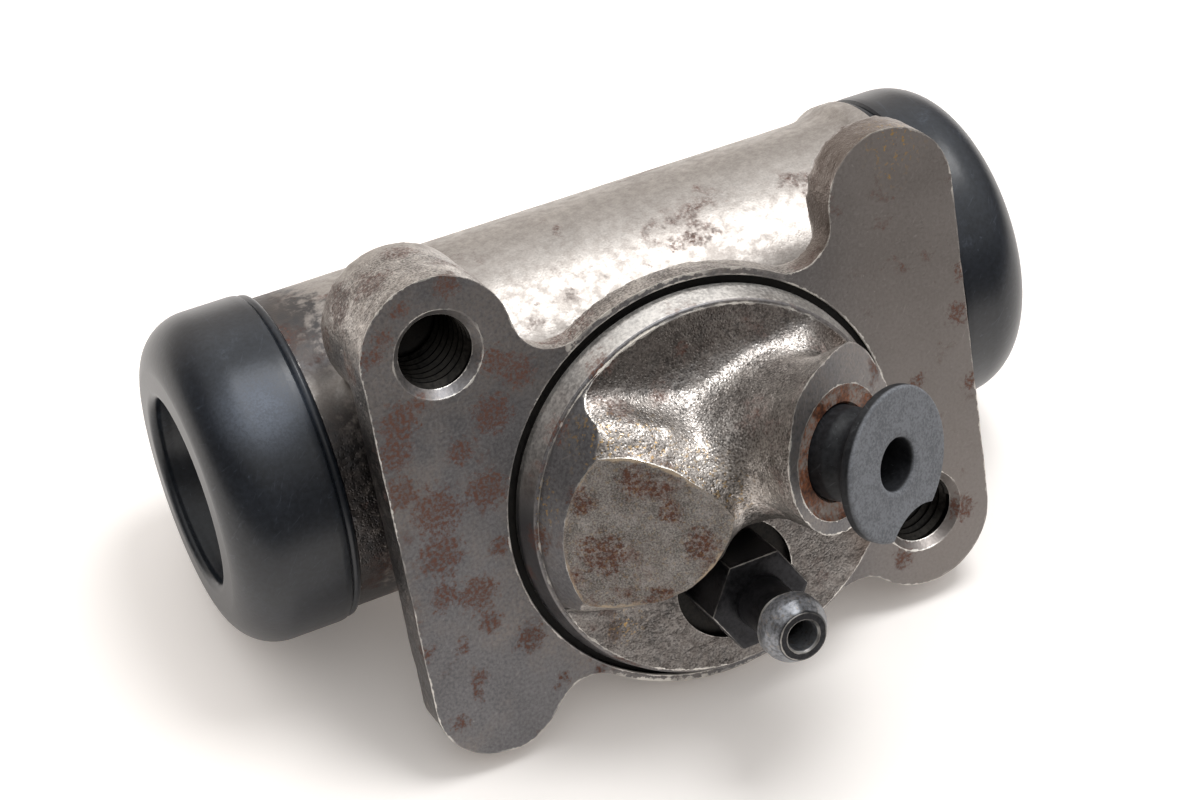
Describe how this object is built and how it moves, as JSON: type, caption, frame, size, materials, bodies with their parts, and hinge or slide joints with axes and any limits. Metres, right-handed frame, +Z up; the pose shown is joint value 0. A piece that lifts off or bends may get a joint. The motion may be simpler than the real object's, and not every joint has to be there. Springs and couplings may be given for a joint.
{
  "type": "wheel cylinder",
  "caption": "Drum brake wheel cylinder: cast tube with rubber end boots, lobed flange with a turned pilot, plugged inlet boss and bleeder screw.",
  "frame": {"origin": "centre of the turned pilot, on the plane of the machined mounting face", "axes": "+X along the cylinder bore, -Y out of the mounting face along the pilot, +Z up"},
  "size_m": [0.107, 0.078, 0.0612],
  "materials": {
    "cast_body": "grainy casting with light rust and scratched machined faces",
    "boot_rubber": "satin black rubber with pale scuffs",
    "piston_aluminium": "turned",
    "cup_rubber": "smooth black rubber",
    "expander_steel": "plated sheet",
    "spring_steel": "drawn wire",
    "bleeder_black": "black coating worn bright on its edges",
    "plug_rubber": "dusty grey rubber"
  },
  "bodies": {
    "cylinder": {"cylinder_body": "cast_body", "left_boot": "boot_rubber", "right_boot": "boot_rubber", "return_spring": "spring_steel"},
    "left_piston_set": {"left_piston": "piston_aluminium", "left_cup": "cup_rubber", "left_cup_expander": "expander_steel"},
    "right_piston_set": {"right_piston": "piston_aluminium", "right_cup": "cup_rubber", "right_cup_expander": "expander_steel"},
    "bleeder": {"bleeder_screw": "bleeder_black"},
    "plug": {"inlet_plug": "plug_rubber"}
  },
  "joints": [
    {"name": "left_piston_slide", "type": "slide", "parent": "cylinder", "child": "left_piston_set", "axis": [-1, 0, 0], "range_m": [-0.002, 0.006], "deforming": ["return_spring"]},
    {"name": "right_piston_slide", "type": "slide", "parent": "cylinder", "child": "right_piston_set", "axis": [1, 0, 0], "range_m": [-0.002, 0.006], "deforming": ["return_spring"]},
    {"name": "bleeder_turn", "type": "hinge", "parent": "cylinder", "child": "bleeder", "pos_m": [0, 0, -0.0118], "axis": [0, -1, 0], "range_deg": [0, 270]},
    {"name": "plug_pull", "type": "slide", "parent": "cylinder", "child": "plug", "axis": [0.4226, -0.9063, 0], "range_m": [0, 0.02]}
  ]
}
